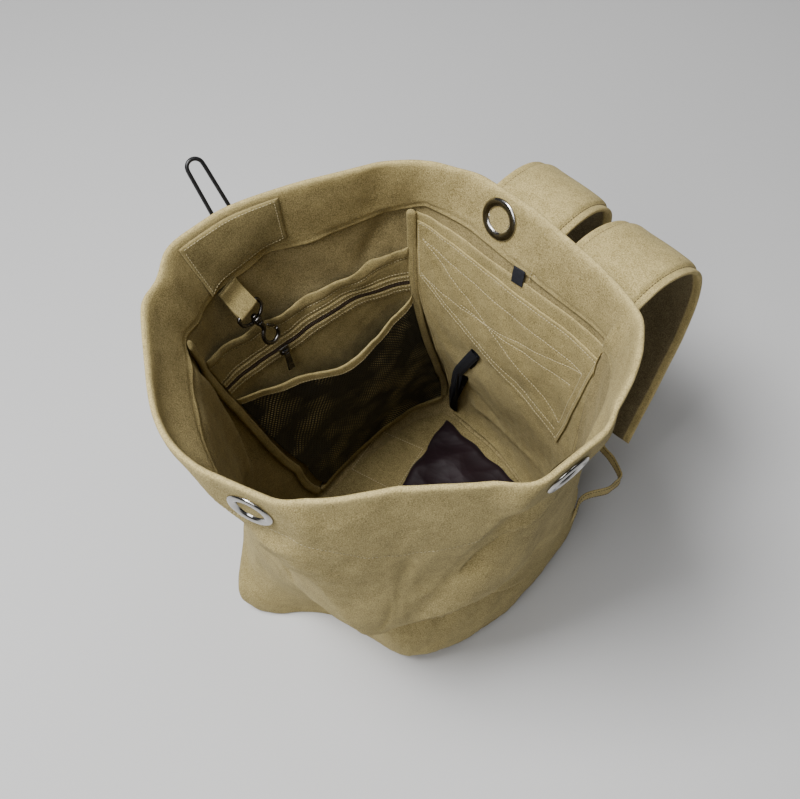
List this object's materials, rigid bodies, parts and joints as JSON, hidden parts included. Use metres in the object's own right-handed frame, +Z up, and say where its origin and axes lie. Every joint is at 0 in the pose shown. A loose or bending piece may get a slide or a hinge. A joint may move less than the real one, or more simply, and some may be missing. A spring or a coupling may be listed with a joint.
{
  "type": "canvas rucksack",
  "caption": "Soft tube-shaped canvas rucksack standing open, with a hemmed mouth, metal eyelets, a wire staple, inside pockets and padded shoulder straps.",
  "frame": {"origin": "centre of the flat underside of the base, where the rucksack stands", "axes": "+Z up to the mouth; -Y the front, +Y the back with the shoulder straps"},
  "size_m": [0.3636, 0.4461, 0.4741],
  "materials": {
    "canvas": "brushed cotton canvas, olive khaki",
    "binding": "folded canvas binding, olive khaki",
    "strap_canvas": "padded cotton canvas, olive khaki",
    "lining": "crumpled wine-dark lining cloth",
    "black_webbing": "black woven tape",
    "net": "black knitted net",
    "zip_tape": "dark brown zip tape and teeth",
    "nickel": "polished nickel plate",
    "gunmetal": "dark plated metal",
    "black_wire": "black coated steel wire"
  },
  "bodies": {
    "bag": {"canvas_body": "canvas", "mouth_hem": "canvas", "staple_patch": "canvas", "staple": "black_wire", "eyelet_back": "nickel", "eyelet_right": "nickel", "eyelet_front": "nickel", "hook_tab": "binding", "hook_loop": "gunmetal", "slip_pocket": "canvas", "zip_tape": "zip_tape", "zip_slider": "gunmetal", "net_pocket": "net", "net_binding": "binding", "seam_binding_back": "binding", "seam_binding_front": "binding", "seam_binding_floor": "binding", "back_sleeve": "canvas", "back_patch": "canvas", "hem_tab": "black_webbing", "sleeve_strap": "black_webbing", "floor_panel": "canvas", "floor_lining": "lining", "strap_yoke": "strap_canvas", "shoulder_strap_left": "strap_canvas", "shoulder_strap_right": "strap_canvas", "lower_webbing_left": "strap_canvas", "lower_webbing_right": "strap_canvas"},
    "hook": {"hook_body": "gunmetal"},
    "gate": {"hook_gate": "gunmetal"},
    "pull": {"zip_pull": "gunmetal"}
  },
  "joints": [
    {"name": "hook_swivel", "type": "hinge", "parent": "bag", "child": "hook", "pos_m": [-0.13847, -0.07986, 0.33967], "axis": [0.4198, 0.2499, -0.8726], "continuous": true},
    {"name": "gate_hinge", "type": "hinge", "parent": "hook", "child": "gate", "pos_m": [-0.13402, -0.07369, 0.32994], "axis": [0.8922, 0.063, 0.4473], "range_deg": [0, 24], "stiffness_Nm_per_rad": 0.004, "springref_deg": -8.59},
    {"name": "pull_hinge", "type": "hinge", "parent": "bag", "child": "pull", "pos_m": [-0.1297, -0.06268, 0.28211], "axis": [-0.0303, -0.9995, 0.009], "range_deg": [0, 105]}
  ]
}
